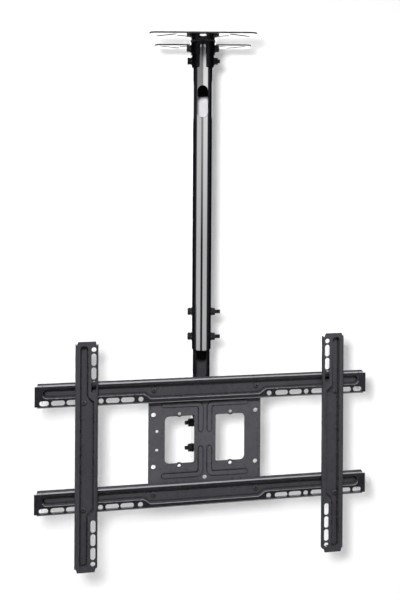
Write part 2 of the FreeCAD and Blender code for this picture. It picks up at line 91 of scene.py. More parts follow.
def bakePlace(piece, matrix=None):
    if matrix is not None:
        piece.matrix_world = matrix
    makeActive(piece)
    bpy.ops.object.transform_apply(location=True, rotation=True, scale=True)
    return piece


def applyModifier(piece, kind, **settings):
    makeActive(piece)
    modifier = piece.modifiers.new(kind.title(), kind)
    for key, value in settings.items():
        setattr(modifier, key, value)
    bpy.ops.object.modifier_apply(modifier=modifier.name)


def softenEdges(piece, width, segments=2, angle=48):
    applyModifier(piece, "BEVEL", width=width * mm, segments=segments, limit_method="ANGLE",
                  angle_limit=math.radians(angle), use_clamp_overlap=False, loop_slide=False)


def smoothSurface(piece, angle=40):
    makeActive(piece)
    bpy.ops.object.shade_smooth_by_angle(angle=math.radians(angle))
    applyModifier(piece, "WEIGHTED_NORMAL", keep_sharp=True)


def joinPieces(pieces):
    makeActive(pieces[0])
    for piece in pieces[1:]:
        piece.select_set(True)
    if len(pieces) > 1:
        bpy.ops.object.join()
    return pieces[0]


def cutAway(piece, cutters, operation="DIFFERENCE"):
    cutter = joinPieces(cutters)
    applyModifier(piece, "BOOLEAN", operation=operation, solver="EXACT", object=cutter)
    bpy.data.objects.remove(cutter, do_unlink=True)


def copyPiece(piece, matrix):
    twin = piece.copy()
    twin.data = piece.data.copy()
    bpy.context.scene.collection.objects.link(twin)
    twin.data.transform(matrix)
    return twin


def aimed(start, direction):  # moves a piece made along +Z so that it starts here and points there
    turn = Vector((0, 0, 1)).rotation_difference(Vector(direction))
    return Matrix.Translation(Vector(start) * mm) @ turn.to_matrix().to_4x4()


def roundBar(radius, length, start, direction, sides=64):
    bpy.ops.mesh.primitive_cylinder_add(vertices=sides, radius=radius * mm, depth=length * mm,
                                        location=(0, 0, length / 2 * mm))
    return bakePlace(bakePlace(bpy.context.object), aimed(start, direction))


# a round bar whose halves are pulled apart
def slotBar(length, width, thick, start, direction, along, sides=48):
    bpy.ops.mesh.primitive_cylinder_add(vertices=sides, radius=width / 2 * mm, depth=thick * mm,
                                        location=(0, 0, thick / 2 * mm), rotation=(0, 0, math.pi / sides))
    bar = bakePlace(bpy.context.object)
    reach = (length - width) / 2 * mm
    for side in (-1, 1):
        selectParts(bar, "VERT", lambda v: v.co.x * side > 0)
        bpy.ops.transform.translate(value=(side * reach, 0, 0))
    bpy.ops.object.mode_set(mode="OBJECT")
    lengthways, through = Vector(along), Vector(direction)
    turn = Matrix((lengthways, through.cross(lengthways), through)).transposed().to_4x4()
    return bakePlace(bar, Matrix.Translation(Vector(start) * mm) @ turn)


def crossHole(radius, y, z, reach=30):  # a bar along X, from one side to the other
    return roundBar(radius, 2 * reach, (-reach, y, z), (1, 0, 0), 32)


def boxBetween(low, high):
    bpy.ops.mesh.primitive_cube_add(size=1, location=[(l + h) / 2 * mm for l, h in zip(low, high)])
    block = bpy.context.object
    block.scale = [(h - l) * mm for l, h in zip(low, high)]
    return bakePlace(block)


def copyOfNode(node):  # the CAD node's own triangles, merged into clean faces
    twin = copyPiece(frame["nodes"][node], frame["nodes"][node].matrix_world)
    twin.parent = None
    twin.matrix_world = Matrix.Identity(4)
    makeActive(twin)
    bpy.ops.object.mode_set(mode="EDIT")
    bpy.ops.mesh.select_all(action="SELECT")
    bpy.ops.mesh.remove_doubles(threshold=1e-6)
    bpy.ops.mesh.tris_convert_to_quads(face_threshold=math.radians(0.6), shape_threshold=math.pi)
    bpy.ops.object.mode_set(mode="OBJECT")
    return twin


# the piece gets its name and one material, joins the body of its CAD nodes and hides them
def standIn(piece, name, material, node, *others):
    piece.name = name
    piece.data.name = name
    piece.data.materials.clear()
    piece.data.materials.append(material)
    for polygon in piece.data.polygons:
        polygon.material_index = 0
    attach(piece, bodyOfNode[node])
    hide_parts(node, *others)
    deselectAll()
    print(name, "done,", len(piece.data.polygons), "faces")


# camera

cameraSettings = {
    "place": (-0.2214, -1.3909, -0.2254),
    "heading": poleHeading,  # degrees from +Y towards +X
    "roll": 0.33,
    "lens": 42.0,
    "shiftX": 0.001,
    "shiftY": -0.2467,
}


def makeCamera(s):
    bpy.ops.object.camera_add(location=s["place"])
    camera = bpy.context.object
    camera.name = "camera"
    turn = Matrix.Rotation(math.radians(-s["heading"]), 3, "Z") @ Matrix.Rotation(math.radians(90), 3, "X")
    camera.rotation_euler = (turn @ Matrix.Rotation(math.radians(s["roll"]), 3, "Z")).to_euler()
    camera.data.lens = s["lens"]
    camera.data.sensor_width = 36
    camera.data.shift_x = s["shiftX"]
    camera.data.shift_y = s["shiftY"]
    camera.data.dof.use_dof = False
    camera.data.clip_start = 0.01
    bpy.context.scene.camera = camera
    deselectAll()


makeCamera(cameraSettings)
print("camera stands")


# paints and metals

def nodeTree(material):
    material.use_nodes = True
    tree = material.node_tree
    tree.nodes.clear()
    return tree


def addNode(tree, kind, **settings):
    node = tree.nodes.new(kind)
    for key, value in settings.items():
        if key in node.inputs:
            node.inputs[key].default_value = value
        else:
            setattr(node, key, value)
    return node


def addMath(tree, operation, a, b=None):
    node = addNode(tree, "ShaderNodeMath", operation=operation)
    for socket, value in zip(node.inputs, (a, b)):
        if value is None:
            continue
        if isinstance(value, (int, float)):
            socket.default_value = value
        else:
            tree.links.new(value, socket)
    return node.outputs[0]


def addRamp(tree, factor, stops):
    ramp = addNode(tree, "ShaderNodeValToRGB")
    elements = ramp.color_ramp.elements
    while len(elements) < len(stops):
        elements.new(1.0)
    for element, (position, colour) in zip(elements, stops):
        element.position = position
        element.color = (*colour, 1.0)
    tree.links.new(factor, ramp.inputs["Fac"])
    return ramp.outputs["Color"]


def addMix(tree, factor, a, b):
    mix = addNode(tree, "ShaderNodeMix", data_type="RGBA")
    for socket, value in zip((mix.inputs[0], mix.inputs[6], mix.inputs[7]), (factor, a, b)):
        if isinstance(value, tuple):
            socket.default_value = (*value, 1.0)
        else:
            tree.links.new(value, socket)
    return mix.outputs[2]


def band(tree, value, start, stop):  # 0 before start, 1 after stop
    node = addNode(tree, "ShaderNodeMapRange")
    tree.links.new(value, node.inputs["Value"])
    node.inputs["From Min"].default_value = start
    node.inputs["From Max"].default_value = stop
    return node.outputs["Result"]


noiseMiddle = (0.3, 0.7)  # most values of a noise texture lie between these


# painted metal: a faint drift of colour, uneven gloss and orange peel
def paintedMetal(name, s):
    material = bpy.data.materials.new(name)
    tree = nodeTree(material)
    place = addNode(tree, "ShaderNodeTexCoord").outputs["Object"]
    shader = addNode(tree, "ShaderNodeBsdfPrincipled")
    shader.inputs["IOR"].default_value = s["ior"]
    shader.inputs["Specular IOR Level"].default_value = s.get("specular", 0.5)
    shader.inputs["Coat Weight"].default_value = s.get("coat", 0.0)
    shader.inputs["Coat Roughness"].default_value = s.get("coatRoughness", 0.05)
    output = addNode(tree, "ShaderNodeOutputMaterial")
    tree.links.new(shader.outputs["BSDF"], output.inputs["Surface"])

    drift = addNode(tree, "ShaderNodeTexNoise", Scale=s["driftScale"], Detail=4.0)
    tree.links.new(place, drift.inputs["Vector"])
    low = [c * (1 - s["drift"]) for c in s["colour"]]
    high = [c * (1 + s["drift"]) for c in s["colour"]]
    colour = addRamp(tree, drift.outputs["Fac"], list(zip(noiseMiddle, (low, high))))
    for axis, start, stop, soft, tone in s.get("paintedLightZones", ()):  # painted light: darker or lighter tones between two places along an axis, standing for shade and highlights
        apart = addNode(tree, "ShaderNodeSeparateXYZ")
        tree.links.new(place, apart.inputs[0])
        inside = addMath(tree, "MULTIPLY", band(tree, apart.outputs[axis], start - soft, start + soft),
                         band(tree, apart.outputs[axis], stop + soft, stop - soft))
        colour = addMix(tree, inside, colour, tone)
    if "cornerShadeReach" in s:  # painted shade: ambient occlusion darkens the colour in the inner corners
        corners = addNode(tree, "ShaderNodeAmbientOcclusion", Distance=s["cornerShadeReach"], samples=8,
                          only_local=True)
        free = band(tree, corners.outputs["AO"], *s["cornerShadeBand"])
        colour = addMix(tree, free, s["cornerShadeColour"], colour)
    tree.links.new(colour, shader.inputs["Base Color"])

    gloss = addNode(tree, "ShaderNodeTexNoise", Scale=s["glossScale"], Detail=3.0)
    tree.links.new(place, gloss.inputs["Vector"])
    levels = [(level,) * 3 for level in s["roughness"]]
    roughness = addRamp(tree, gloss.outputs["Fac"], list(zip(noiseMiddle, levels)))
    tree.links.new(roughness, shader.inputs["Roughness"])

    peel = addNode(tree, "ShaderNodeTexNoise", Scale=s["peelScale"], Detail=2.0)
    tree.links.new(place, peel.inputs["Vector"])
    bump = addNode(tree, "ShaderNodeBump", Strength=s["peelStrength"], Distance=s["peelDepth"])
    tree.links.new(peel.outputs["Fac"], bump.inputs["Height"])
    tree.links.new(bump.outputs["Normal"], shader.inputs["Normal"])
    return material


framePaintSettings = {
    "colour": (0.04, 0.039, 0.044), "drift": 0.1, "driftScale": 14.0, "ior": 1.45, "specular": 0.12,
    "roughness": (0.25, 0.31), "glossScale": 60.0,
    # painted shade: the inner corners are darkened by ambient occlusion
    "cornerShadeReach": 0.0033, "cornerShadeBand": (0.66, 0.92), "cornerShadeColour": (0.004, 0.004, 0.005),
    "peelScale": 900.0, "peelStrength": 0.25, "peelDepth": 0.00012,
}
platePaintSettings = {  # painted shade: thin dark lines on the walls round the ribs, and darker inner corners
    **framePaintSettings, "colour": (0.066, 0.064, 0.071), "cornerShadeReach": 0.0036, "cornerShadeBand": (0.74, 0.96),
    # painted shade on the rib walls, between these depths
    "paintedLightZones": (("Y", -0.0534, -0.0522, 0.0001, (0.006, 0.006, 0.007)),),
}
railPaintSettings = {  # painted shade: the fronts of the horizontal rails darker than their recesses; painted highlight: a light line along the front edge of each recess
    **framePaintSettings, "colour": (0.044, 0.043, 0.048),
    "paintedLightZones": (("Y", -0.07, -0.0606, 0.0001, (0.014, 0.014, 0.017)),
              ("Y", -0.0619, -0.0608, 0.00004, (0.22, 0.22, 0.23))),
}
sheetPaintSettings = {
    "colour": (0.008, 0.008, 0.011), "drift": 0.1, "driftScale": 12.0, "ior": 1.6,
    "roughness": (0.1, 0.16), "glossScale": 40.0, "coat": 1.0, "coatRoughness": 0.04,
    "peelScale": 500.0, "peelStrength": 0.06, "peelDepth": 0.00006,
}
polePaintSettings = {
    "colour": (0.006, 0.006, 0.009), "drift": 0.1, "driftScale": 10.0, "ior": 2.4,
    "roughness": (0.05, 0.08), "glossScale": 30.0,
    "peelScale": 500.0, "peelStrength": 0.06, "peelDepth": 0.00008,
}
sleevePaintSettings = {
    "colour": (0.004, 0.004, 0.006), "drift": 0.12, "driftScale": 30.0, "ior": 1.2,
    "roughness": (0.3, 0.38), "glossScale": 60.0,
    "peelScale": 700.0, "peelStrength": 0.2, "peelDepth": 0.0001,
}
innerPoleSettings = {**polePaintSettings, "ior": 1.7, "roughness": (0.14, 0.2)}
brightBoreSettings = {
    "colour": (0.42, 0.42, 0.44), "drift": 0.08, "driftScale": 60.0, "ior": 1.1,
    "roughness": (0.55, 0.7), "glossScale": 80.0,
    "peelScale": 900.0, "peelStrength": 0.15, "peelDepth": 0.0001,
    "paintedLightZones": (("Z", -0.113, 0.01, 0.0006, (0.02, 0.02, 0.022)),),  # painted shadow: the bore darker above this height, standing in for the shade under the cable hole's top edge
}
# painted shade: a darker copy of the bare bore for the inner tube, standing in for the shade deep inside it
shadedBoreSettings = {**brightBoreSettings, "colour": (0.04, 0.04, 0.043), "paintedLightZones": ()}
screwPaintSettings = {**framePaintSettings, "colour": (0.034, 0.034, 0.036), "specular": 0.5}
# painted highlight: a lighter copy of the sleeve paint for the weld bead, standing in for the light arc along
# it
weldHighlightPaintSettings = {**sleevePaintSettings, "colour": (0.09, 0.09, 0.1), "ior": 1.4}
boltSteelSettings = {
    "colour": (0.013, 0.013, 0.015), "drift": 0.2, "driftScale": 120.0, "ior": 1.6,
    "roughness": (0.25, 0.38), "glossScale": 300.0,
    "peelScale": 1500.0, "peelStrength": 0.2, "peelDepth": 0.00005,
}

framePaint = paintedMetal("framePaint", framePaintSettings)
platePaint = paintedMetal("platePaint", platePaintSettings)
railPaint = paintedMetal("railPaint", railPaintSettings)
sheetPaint = paintedMetal("sheetPaint", sheetPaintSettings)
outerPolePaint = paintedMetal("outerPolePaint", polePaintSettings)
innerPolePaint = paintedMetal("innerPolePaint", innerPoleSettings)
brightBore = paintedMetal("brightBore", brightBoreSettings)
shadedBore = paintedMetal("shadedBore", shadedBoreSettings)
sleevePaint = paintedMetal("sleevePaint", sleevePaintSettings)
screwPaint = paintedMetal("screwPaint", screwPaintSettings)
weldHighlightPaint = paintedMetal("weldHighlightPaint", weldHighlightPaintSettings)
boltSteel = paintedMetal("boltSteel", boltSteelSettings)
print("paints mixed")


# pole: two tubes, their cable holes and the welded sleeve; lengths in mm, heights from the ceiling

poleSettings = {
    "sides": 128, "edge": 0.3,
    "outerRadius": 19.0, "outerWall": 1.7, "outerLow": -620.0, "outerHigh": -3.0,
    "innerRadius": 17.0, "innerWall": 2.0, "innerLow": -719.5, "innerHigh": -165.0,
    "holeWidth": 21.0, "holeLength": 63.0, "holeDeep": 20.0, "holeFrom": -24.0, "holeSides": 96,
    "entryMiddle": -124.5, "exitMiddle": -645.0, "boreMargin": 0.15,
    "boltHole": 4.1, "socketBolts": (-18.0, -43.0), "tubeBolts": (-596.0, -546.0),
    "sideSlotWidth": 8.6, "sideSlotLow": -600.3, "sideSlotHigh": -191.7,
}


def makeTube(radius, wall, low, high, s):
    bpy.ops.mesh.primitive_cylinder_add(vertices=s["sides"], radius=radius * mm, depth=(high - low) * mm,
                                        location=(0, 0, (low + high) / 2 * mm), end_fill_type="NOTHING")
    tube = bakePlace(bpy.context.object)
    applyModifier(tube, "SOLIDIFY", thickness=wall * mm, offset=-1, use_rim=True)
    return tube


def frontHole(middle, s):
    return slotBar(s["holeLength"], s["holeWidth"], s["holeDeep"], (0, s["holeFrom"], middle),
                   (0, 1, 0), (0, 0, 1), s["holeSides"])


def roundNormals(piece, outer, inner):  # corners on the two round walls get the normals of a true cylinder
    mesh = piece.data
    normals = [corner.vector.copy() for corner in mesh.corner_normals]
    for k, loop in enumerate(mesh.loops):
        place = mesh.vertices[loop.vertex_index].co
        radius = place.xy.length
        for wall, way in ((outer, 1), (inner, -1)):
            if abs(radius - wall * mm) < 0.02 * mm:
                normals[k] = Vector((place.x, place.y, 0)).normalized() * way
    mesh.normals_split_custom_set(normals)


def bareBore(tube, material, radius):  # the faces nearer to the pole's axis than this get bare metal
    tube.data.materials.append(material)
    for polygon in tube.data.polygons:
        if polygon.center.xy.length < radius * mm:
            polygon.material_index = 1


def finishTube(tube, outer, inner, s):
    softenEdges(tube, s["edge"])
    tube.data.transform(poleTurn)
    smoothSurface(tube)
    roundNormals(tube, outer, inner)


def makeOuterTube(s):
    tube = makeTube(s["outerRadius"], s["outerWall"], s["outerLow"], s["outerHigh"], s)
    holes = [crossHole(s["boltHole"], 0, z) for z in s["socketBolts"] + s["tubeBolts"]]
    cutAway(tube, holes + [frontHole(s["entryMiddle"], s)])
    finishTube(tube, s["outerRadius"], s["outerRadius"] - s["outerWall"], s)
    standIn(tube, "outerPoleTube", outerPolePaint, "outer_tube")
    bareBore(tube, brightBore, s["outerRadius"] - s["outerWall"] + s["boreMargin"])


def makeInnerTube(s):
    tube = makeTube(s["innerRadius"], s["innerWall"], s["innerLow"], s["innerHigh"], s)
    low, high = s["sideSlotLow"], s["sideSlotHigh"]
    slot = slotBar(high - low, s["sideSlotWidth"], 60, (-30, 0, (low + high) / 2), (1, 0, 0), (0, 0, 1))
    cutAway(tube, [slot, frontHole(s["exitMiddle"], s)])
    finishTube(tube, s["innerRadius"], s["innerRadius"] - s["innerWall"], s)
    standIn(tube, "innerPoleTube", innerPolePaint, "inner_tube")
    bareBore(tube, shadedBore, s["innerRadius"] - s["innerWall"] + s["boreMargin"])


makeOuterTube(poleSettings)
makeInnerTube(poleSettings)

sleeveSettings = {
    "sides": 96, "upperRadius": 23.75, "lowerRadius": 22.0, "top": -3.0, "step": -31.0, "bottom": -56.5,
    "bore": 19.1, "opening": 16.7, "openingTop": -11.0, "taper": 1.4, "edge": 0.5,
    "boreSides": 128, "reach": 30.0, "beads": 60, "beadRadius": 1.2, "beadShape": (1.0, 1.35, 0.85),
    "beadOut": 0.4, "beadLow": 0.9,
}


def makeSleeve(s):
    sleeve = roundBar(s["upperRadius"], s["top"] - s["step"], (0, 0, s["step"]), (0, 0, 1), s["sides"])
    selectParts(sleeve, "FACE", lambda f: f.normal.z < -0.9)
    bpy.ops.mesh.inset(thickness=(s["upperRadius"] - s["lowerRadius"]) * mm)
    drop = (s["step"] - s["bottom"] - s["taper"]) * mm
    bpy.ops.mesh.extrude_region_move(TRANSFORM_OT_translate={"value": (0, 0, -drop)})
    bpy.ops.mesh.extrude_region_move(TRANSFORM_OT_translate={"value": (0, 0, -s["taper"] * mm)})
    shrink = (s["lowerRadius"] - s["taper"]) / s["lowerRadius"]
    bpy.ops.transform.resize(value=(shrink, shrink, 1))
    bpy.ops.object.mode_set(mode="OBJECT")
    tall = s["top"] - s["bottom"]
    low = s["bottom"] - proud
    bore = roundBar(s["bore"], tall + 2 * proud, (0, 0, low), (0, 0, 1), s["boreSides"])
    mouth = boxBetween((-s["opening"] / 2, -s["reach"], low), (s["opening"] / 2, 0, s["openingTop"]))
    holes = [crossHole(poleSettings["boltHole"], 0, z) for z in poleSettings["socketBolts"]]
    cutAway(sleeve, [bore])
    cutAway(sleeve, [mouth] + holes)
    softenEdges(sleeve, s["edge"], 3)
    sleeve.data.transform(poleTurn)
    smoothSurface(sleeve)
    standIn(sleeve, "ceilingSleeve", sleevePaint, "ceiling_socket")
    bead = makeWeldBead(s)
    standIn(bead, "sleeveWeld", weldHighlightPaint, "ceiling_socket")


def makeWeldBead(s):  # overlapping drops of weld where the sleeve meets the ceiling plate
    bpy.ops.mesh.primitive_uv_sphere_add(segments=14, ring_count=8, radius=s["beadRadius"] * mm)
    drop = bpy.context.object
    drop.scale = s["beadShape"]
    bakePlace(drop)
    smoothSurface(drop)
    drops = []
    for k in range(s["beads"]):
        angle = 2 * math.pi * k / s["beads"]
        turn = Matrix.Rotation(angle - math.pi / 2, 4, "Z") @ poleTurn
        out = Matrix.Translation(((s["upperRadius"] + s["beadOut"]) * mm, 0, (s["top"] - s["beadLow"]) * mm))
        drops.append(copyPiece(drop, turn @ out))
    bpy.data.objects.remove(drop, do_unlink=True)
    return joinPieces(drops)


makeSleeve(sleeveSettings)


# ceiling plate

ceilingSettings = {
    "edge": 0.45, "slotWidth": 8.0, "slots": (((86, 66), (54, 88)), ((46, 71), (24, 61))),
    "frontWidth": 13.0, "frontLength": 36.0, "frontMiddle": 69.0, "cutLow": -5.0, "cutDeep": 6.0,
}


shallowTurn = (8, 47)  # degrees between two flats that stand for an arc
levelLimit = 0.3  # how far such a flat may face along the sheet's thickness


def roundFlats(piece, width, through, segments=3):  # rounds the shallow corners where flats follow an arc
    faces = {}
    for polygon in piece.data.polygons:
        for key in polygon.edge_keys:
            faces.setdefault(key, []).append(polygon.normal.copy())
    shallow = set()
    for key, sides in faces.items():
        turn = math.degrees(sides[0].angle(sides[-1], 0))
        level = max(abs(side.dot(Vector(through))) for side in sides)
        if len(sides) == 2 and shallowTurn[0] < turn < shallowTurn[1] and level < levelLimit:
            shallow.add(key)
    selectParts(piece, "EDGE", lambda e: e.key in shallow)
    bpy.ops.mesh.bevel(offset=width * mm, segments=segments, affect="EDGES")
    bpy.ops.object.mode_set(mode="OBJECT")


def makeCeilingPlate(s):
    plate = copyOfNode("ceiling_plate")
    plate.data.transform(poleTurn.inverted())
    cutters = []
    for sx in (-1, 1):
        for sy in (-1, 1):
            for start, stop in s["slots"]:
                a, b = (Vector((sx * x, sy * y, 0)) for x, y in (start, stop))
                way = (b - a).normalized()
                middle = (a + b) / 2
                width = s["slotWidth"] + 2 * cutSlack
                cutters.append(slotBar((b - a).length + width, width, s["cutDeep"],
                                       (middle.x, middle.y, s["cutLow"]), (0, 0, 1), way))
    for sy in (-1, 1):
        cutters.append(slotBar(s["frontLength"] + 2 * cutSlack, s["frontWidth"] + 2 * cutSlack, s["cutDeep"],
                               (0, sy * s["frontMiddle"], s["cutLow"]), (0, 0, 1), (0, 1, 0)))
    cutAway(plate, cutters)
    softenEdges(plate, s["edge"])
    plate.data.transform(poleTurn)
    smoothSurface(plate)
    standIn(plate, "ceilingPlateSheet", sheetPaint, "ceiling_plate")


makeCeilingPlate(ceilingSettings)
print("pole and ceiling plate hang")


# bolts, washers and nuts, each kind made once along +Z and then copied

boltSettings = {
    "headFlats": 13.0, "headHeight": 5.3, "nutHeight": 6.5, "shank": 4.0, "pitch": 1.25, "threadDepth": 0.55,
    "washer": 8.0, "washerThick": 1.6, "springOuter": 6.6, "springThick": 2.1, "hole": 4.1,
    "longBolt": 60.0, "tiltBolt": 55.0, "tiltShank": 3.85, "threads": 20,
    "edge": 0.18, "edgeAngle": 30, "threadAngle": 70, "chamfer": 0.96, "coneSlope": 1.73, "coneSpare": 3,
    "washerEdge": 0.25, "springEdge": 0.2, "springSlant": 32, "springGap": 0.8,
}


def chamferHex(piece, flats, height, both):  # turns the corners off the ends of a hexagon
    across = boltSettings["chamfer"] * flats / 2
    tall = height + boltSettings["coneSpare"]
    spread = across + tall * boltSettings["coneSlope"]
    ends = [(0, 0, 1)] + ([(0, 0, -1)] if both else [])
    for end in ends:
        bpy.ops.mesh.primitive_cone_add(vertices=48, radius1=spread * mm, radius2=across * mm,
                                        depth=tall * mm, location=(0, 0, (height - tall / 2) * mm))
        cone = bakePlace(bpy.context.object)
        if end[2] < 0:
            cone.data.transform(Matrix.Translation((0, 0, height * mm)) @ Matrix.Rotation(math.pi, 4, "X"))
        cutAway(piece, [cone], "INTERSECT")


# rings of thread grown from the end that points along -Z
def threadedEnd(piece, radius, pitch, depth, count):
    low = min(v.co.z for v in piece.data.vertices)
    selectParts(piece, "FACE", lambda f: f.normal.z < -0.9 and abs(f.center.z - low) < 1e-6)
    inward = (radius - depth) / radius
    for k in range(count):
        for share in (inward, 1 / inward):
            bpy.ops.mesh.extrude_region_move(TRANSFORM_OT_translate={"value": (0, 0, -pitch / 2 * mm)})
            bpy.ops.transform.resize(value=(share, share, 1))
    bpy.ops.mesh.extrude_region_move(TRANSFORM_OT_translate={"value": (0, 0, -depth * mm)})
    bpy.ops.transform.resize(value=(inward, inward, 1))
    bpy.ops.object.mode_set(mode="OBJECT")


def makeHexBolt(flats, height, radius, length, threads, s):  # head above z = 0, shank below
    head = roundBar(flats / math.sqrt(3), height, (0, 0, 0), (0, 0, 1), 6)
    chamferHex(head, flats, height, False)
    softenEdges(head, s["edge"], 2, s["edgeAngle"])
    smoothSurface(head, s["edgeAngle"])
    plain = length - threads * s["pitch"] - s["threadDepth"]
    shank = roundBar(radius, plain, (0, 0, -plain), (0, 0, 1), 32)
    threadedEnd(shank, radius, s["pitch"], s["threadDepth"], threads)
    smoothSurface(shank, s["threadAngle"])
    return joinPieces([head, shank])


def makeHexNut(flats, height, hole):
    nut = roundBar(flats / math.sqrt(3), height, (0, 0, 0), (0, 0, 1), 6)
    chamferHex(nut, flats, height, True)
    cutAway(nut, [roundBar(hole, height + 2 * proud, (0, 0, -proud), (0, 0, 1), 32)])
    softenEdges(nut, boltSettings["edge"], 2, boltSettings["edgeAngle"])
    smoothSurface(nut, boltSettings["edgeAngle"])
    return nut


def makeWasher(outer, hole, thick):
    washer = roundBar(outer, thick, (0, 0, 0), (0, 0, 1), 64)
    cutAway(washer, [roundBar(hole, thick + 2 * proud, (0, 0, -proud), (0, 0, 1), 32)])
    softenEdges(washer, boltSettings["washerEdge"])
    smoothSurface(washer)
    return washer


def makeSpringWasher(outer, hole, thick):  # split ring, its gap cut on a slant
    washer = roundBar(outer, thick, (0, 0, 0), (0, 0, 1), 64)
    bpy.ops.mesh.primitive_cube_add(size=1, location=(0, -(outer + hole) / 2 * mm, thick / 2 * mm),
                                    rotation=(0, math.radians(boltSettings["springSlant"]), 0))
    gap = bpy.context.object
    gap.scale = (boltSettings["springGap"] * mm, (outer - hole + 2 * proud) * mm, 4 * thick * mm)
    cutAway(washer, [roundBar(hole, thick + 2 * proud, (0, 0, -proud), (0, 0, 1), 32)])
    cutAway(washer, [bakePlace(gap)])
    softenEdges(washer, boltSettings["springEdge"])
    smoothSurface(washer)
    return washer


longBolt = makeHexBolt(boltSettings["headFlats"], boltSettings["headHeight"], boltSettings["shank"],
                       boltSettings["longBolt"], boltSettings["threads"], boltSettings)
tiltBolt = makeHexBolt(boltSettings["headFlats"], boltSettings["headHeight"], boltSettings["tiltShank"],
                       boltSettings["tiltBolt"], boltSettings["threads"], boltSettings)
hexNut = makeHexNut(boltSettings["headFlats"], boltSettings["nutHeight"], boltSettings["shank"])
flatWasher = makeWasher(boltSettings["washer"], boltSettings["hole"], boltSettings["washerThick"])
springWasher = makeSpringWasher(boltSettings["springOuter"], boltSettings["hole"],
                                boltSettings["springThick"])


def crossBolt(bolt, seat, y, z, side, spring, turn, s):  # one bolt through a piece that reaches to the seat
    outward, inward = (side, 0, 0), (-side, 0, 0)
    washers = [copyPiece(flatWasher, turn @ aimed((side * seat, y, z), outward)),
               copyPiece(flatWasher, turn @ aimed((-side * seat, y, z), inward))]
    reach = seat + s["washerThick"]
    if spring:
        washers.append(copyPiece(springWasher, turn @ aimed((side * reach, y, z), outward)))
        reach += s["springThick"]
    nut = copyPiece(hexNut, turn @ aimed((-side * (seat + s["washerThick"]), y, z), inward))
    return [copyPiece(bolt, turn @ aimed((side * reach, y, z), outward))], washers, [nut]


def fitCrossBolts(stacks, names, nodes):
    for kind, (name, node) in enumerate(zip(names, nodes)):
        pieces = [piece for stack in stacks for piece in stack[kind]]
        if isinstance(node, str):
            standIn(joinPieces(pieces), name, boltSteel, node)
        else:
            for piece, one in zip(pieces, node):
                standIn(piece, one[0], boltSteel, one[1])


socketStacks = [crossBolt(longBolt, seat, 0, z, -1, True, poleTurn, boltSettings)
                for seat, z in zip((sleeveSettings["upperRadius"], sleeveSettings["lowerRadius"]),
                                   poleSettings["socketBolts"])]
fitCrossBolts(socketStacks, ("sleeveBolts", "sleeveWashers", "sleeveNuts"),
              ("socket_bolts", "socket_washers", "socket_nuts"))
tubeStacks = [crossBolt(longBolt, poleSettings["outerRadius"], 0, z, -1, True, poleTurn, boltSettings)
              for z in poleSettings["tubeBolts"]]
fitCrossBolts(tubeStacks, ("clampBolts", "clampWashers", "clampNuts"),
              ("tube_bolts", "tube_washers", "tube_nuts"))

tiltSettings = {"seat": 19.4, "y": -10.0, "pivot": -764.5, "lock": -814.5, "yokeHole": 4.13, "yokeReach": 25}
tiltStacks = [crossBolt(tiltBolt, tiltSettings["seat"], tiltSettings["y"], z, 1, False, unturned,
                        boltSettings)
              for z in (tiltSettings["pivot"], tiltSettings["lock"])]
fitCrossBolts(tiltStacks, ("", "tiltWashers", "tiltNuts"),
              ((("tiltPivotBolt", "tilt_pivot_bolt"), ("tiltLockBolt", "tilt_lock_bolt")),
               "tilt_washers", "tilt_nuts"))
for spare in (longBolt, tiltBolt, hexNut, flatWasher, springWasher):
    bpy.data.objects.remove(spare, do_unlink=True)
print("cross bolts fitted")


# swivel: plug in the tube's end, its large bolt and nut, the yoke below

swivelSettings = {
    "flats": 18.0, "headHeight": 7.5, "radius": 6.0, "length": 42.0, "threads": 10, "nutHeight": 10.0,
    "yokeUnder": -723.0, "plugTop": -695.0, "plugLow": -719.5, "plugRadius": 14.9, "bore": 6.08, "rub": 0.1,
    "yokeBore": 6.1, "yokeCutLow": -727.0, "yokeCutDeep": 10.0, "plugCutDeep": 60.0, "plugCutLow": -729.5,
}


def makeSwivel(s):
    plug = roundBar(s["plugRadius"], s["plugTop"] - s["plugLow"], (0, 0, s["plugLow"]), (0, 0, 1), 96)
    cutAway(plug, [roundBar(s["bore"], s["plugCutDeep"], (0, 0, s["plugCutLow"]), (0, 0, 1), 48)])
    softenEdges(plug, 0.5)
    plug.data.transform(poleTurn)
    smoothSurface(plug)
    standIn(plug, "swivelPlug", boltSteel, "swivel_plug")
    bolt = makeHexBolt(s["flats"], s["headHeight"], s["radius"], s["length"], s["threads"], boltSettings)
    bolt.data.transform(aimed((0, 0, s["yokeUnder"]), (0, 0, -1)))
    standIn(bolt, "swivelBolt", boltSteel, "swivel_bolt")
    nut = makeHexNut(s["flats"], s["nutHeight"], s["radius"])
    nut.data.transform(aimed((0, 0, s["plugTop"] + s["rub"]), (0, 0, 1)))
    standIn(nut, "swivelNut", boltSteel, "swivel_nut")


def makeYoke(s, tilt):
    yoke = copyOfNode("swivel_yoke")
    holes = [crossHole(tilt["yokeHole"], tilt["y"], z, tilt["yokeReach"])
             for z in (tilt["pivot"], tilt["lock"])]
    cutAway(yoke, holes + [roundBar(s["yokeBore"], s["yokeCutDeep"], (0, 0, s["yokeCutLow"]), (0, 0, 1), 48)])
    roundFlats(yoke, 0.9, (1, 0, 0))
    softenEdges(yoke, 0.5, 3)
    smoothSurface(yoke)
    standIn(yoke, "swivelYoke", sheetPaint, "swivel_yoke")


def makeTiltBracket():
    bracket = copyOfNode("tilt_bracket")
    roundFlats(bracket, 0.9, (1, 0, 0))
    softenEdges(bracket, 0.5, 3)
    smoothSurface(bracket)
    standIn(bracket, "tiltBracket", sheetPaint, "tilt_bracket")


makeSwivel(swivelSettings)
makeYoke(swivelSettings, tiltSettings)
makeTiltBracket()
print("swivel and tilt head made")


# centre plate

plateSettings = {
    "middle": -780.5, "front": -52.0, "sideHole": (-93.5, 18.0, 2.8), "lowHole": (0.0, -75.0, 4.0),
    "edge": 0.45, "cutAhead": -4, "cutDeep": 9,
}


